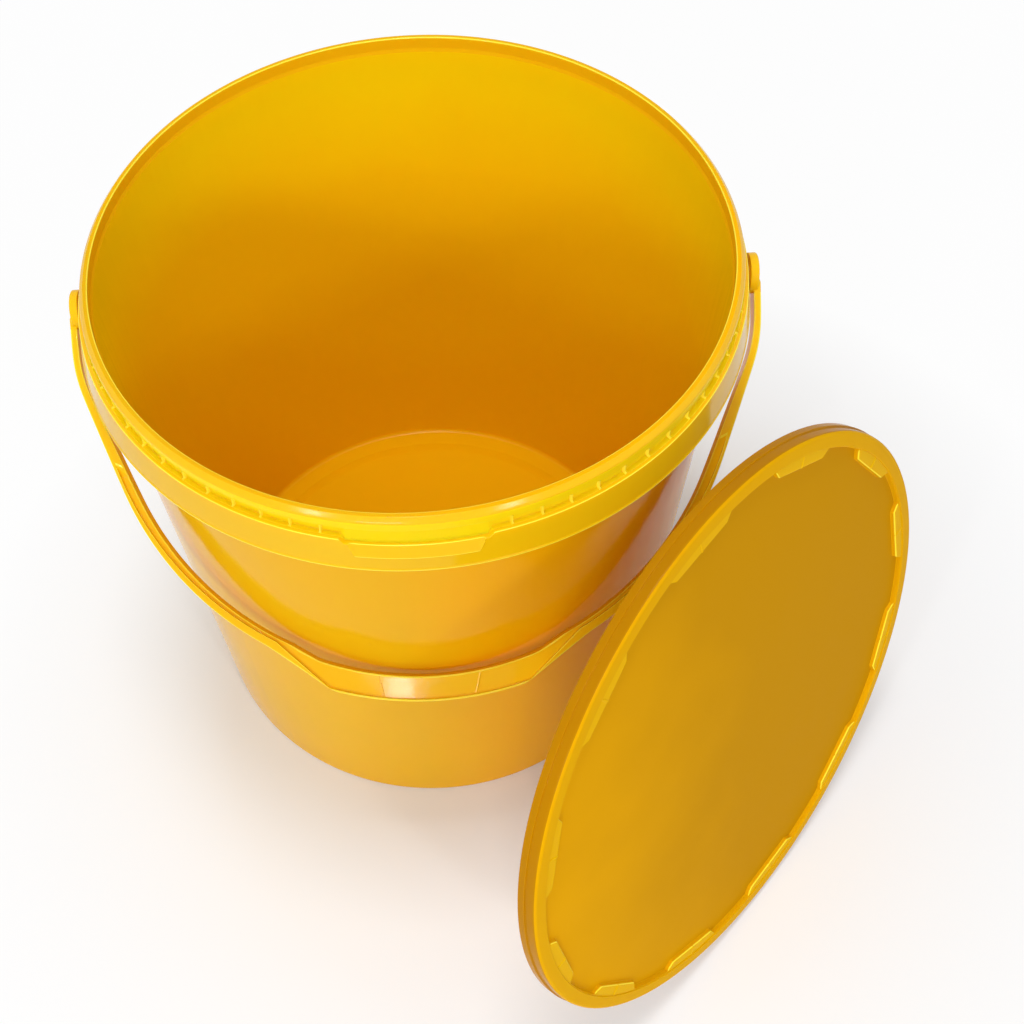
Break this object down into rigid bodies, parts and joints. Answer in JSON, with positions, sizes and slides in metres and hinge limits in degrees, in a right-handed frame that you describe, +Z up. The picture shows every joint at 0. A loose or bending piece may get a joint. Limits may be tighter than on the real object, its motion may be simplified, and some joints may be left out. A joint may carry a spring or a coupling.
{
  "type": "honey bucket",
  "caption": "Open round plastic honey bucket with a tapered wall, a ribbed collar with a finger notch, a swinging bail handle and its clip-down lid standing beside it.",
  "frame": {"origin": "centre of the bucket's foot ring, on the floor", "axes": "+Z up along the bucket's axis, X along the handle's pivots, -Y to the front through the notch in the collar"},
  "size_m": [0.4303, 0.4584, 0.3165],
  "materials": {
    "bucket": "glossy yellow polypropylene, slightly translucent",
    "handle": "glossy yellow polypropylene",
    "lid": "glossy yellow polypropylene, soft sheen on the panel"
  },
  "bodies": {
    "bucket": {"bucket": "bucket"},
    "handle": {"handle": "handle"},
    "lid": {"lid": "lid"}
  },
  "joints": [
    {"name": "handle_swing", "type": "hinge", "parent": "bucket", "child": "handle", "pos_m": [0, 0, 0.2865], "axis": [-1, 0, 0], "range_deg": [0, 254.9]},
    {"name": "lid_lift", "type": "slide", "parent": "bucket", "child": "lid", "axis": [0, 0, 1], "range_m": [0, 0.34]}
  ]
}
